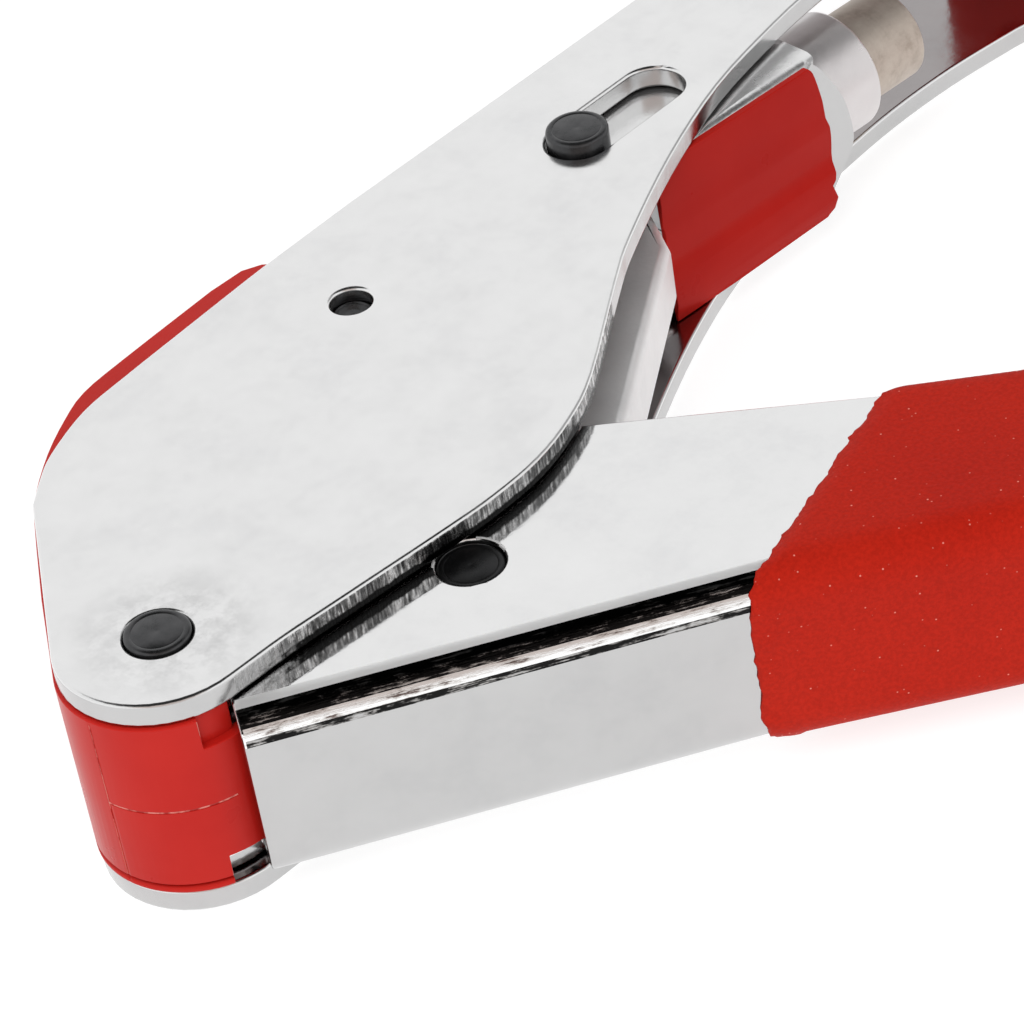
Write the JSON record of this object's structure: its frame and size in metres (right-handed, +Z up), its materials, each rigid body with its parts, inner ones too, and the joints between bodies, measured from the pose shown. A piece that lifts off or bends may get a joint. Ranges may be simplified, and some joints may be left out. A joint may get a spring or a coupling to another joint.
{
  "type": "plug compression hand tool",
  "caption": "Lever-type hand press: a folded lever and toggle link drive a sliding plunger between two plates toward a split cable seat.",
  "frame": {"origin": "axis of the nose pivot at the resting face of the rear plate", "axes": "+X along the plunger travel toward the end of the fixed handle, +Y across the plates away from the lever, +Z up from the resting face through the thickness"},
  "size_m": [0.1946, 0.1375, 0.0212],
  "materials": {
    "plated_steel": "bright zinc or nickel plating, fine scratches",
    "black_steel": "black oxide, satin",
    "plain_steel": "turned, satin",
    "spring_steel": "drawn wire",
    "machined_steel": "turned, warm satin",
    "bronze": "sintered, oiled",
    "red_plastic": "moulded, semi-gloss",
    "red_dip": "dipped vinyl, fine grain"
  },
  "bodies": {
    "root": {"front_plate": "plated_steel", "rear_plate": "plated_steel", "nose_bumper": "red_plastic", "pivot_pin": "black_steel", "pivot_sleeve": "bronze", "anchor_pin": "black_steel", "return_spring": "spring_steel", "upper_channel": "plated_steel", "upper_grip": "red_dip", "handle_rivets": "plain_steel", "connector_cradle": "red_plastic", "cradle_pins": "black_steel", "jaw_pins": "black_steel", "front_jaw_spring": "spring_steel", "rear_jaw_spring": "spring_steel"},
    "lever": {"lever_channel": "plated_steel", "lever_grip": "red_dip", "link_pin": "black_steel", "link_spacers": "plain_steel"},
    "link": {"toggle_link": "plated_steel"},
    "slider": {"slider_pin": "black_steel", "slider_spacers": "plain_steel"},
    "carriage": {"slider_bracket": "plated_steel", "slider_saddle": "red_plastic", "slider_block": "plain_steel", "carriage_rivets": "plain_steel", "lock_nut": "plated_steel"},
    "plunger": {"plunger": "machined_steel"},
    "front_jaw": {"front_jaw": "plain_steel"},
    "rear_jaw": {"rear_jaw": "plain_steel"}
  },
  "joints": [
    {"name": "lever_pivot", "type": "hinge", "parent": "root", "child": "lever", "pos_m": [0, 0, 0.01], "axis": [0, 0, 1], "range_deg": [0, 28], "stiffness_Nm_per_rad": 0.3, "springref_deg": -34.38, "deforming": ["return_spring"]},
    {"name": "link_pivot", "type": "hinge", "parent": "lever", "child": "link", "pos_m": [0.0202, -0.0114, 0.01], "axis": [0, 0, 1], "range_deg": [-41.6, 0]},
    {"name": "slider_slide", "type": "slide", "parent": "root", "child": "slider", "axis": [1, 0, 0], "range_m": [0, 0.0089]},
    {"name": "carriage_align", "type": "hinge", "parent": "slider", "child": "carriage", "pos_m": [0.0629, 0.016, 0.01], "axis": [0, 0, 1], "range_deg": [0, 4.2]},
    {"name": "plunger_adjust", "type": "slide", "parent": "carriage", "child": "plunger", "axis": [0.9973, -0.0732, 0], "range_m": [0, 0.003]},
    {"name": "front_jaw_hinge", "type": "hinge", "parent": "root", "child": "front_jaw", "pos_m": [0.1328, 0.0218, 0.0147], "axis": [-1, 0, 0], "range_deg": [0, 18], "stiffness_Nm_per_rad": 0.02, "springref_deg": -28.65, "deforming": ["front_jaw_spring"]},
    {"name": "rear_jaw_hinge", "type": "hinge", "parent": "root", "child": "rear_jaw", "pos_m": [0.1328, 0.0218, 0.0053], "axis": [1, 0, 0], "range_deg": [0, 18], "stiffness_Nm_per_rad": 0.02, "springref_deg": -28.65, "deforming": ["rear_jaw_spring"]}
  ],
  "couplings": [
    {"joint": "link_pivot", "follows": "lever_pivot", "ratio": -1.48},
    {"joint": "slider_slide", "follows": "lever_pivot", "m_per_rad": 0.0181}
  ]
}
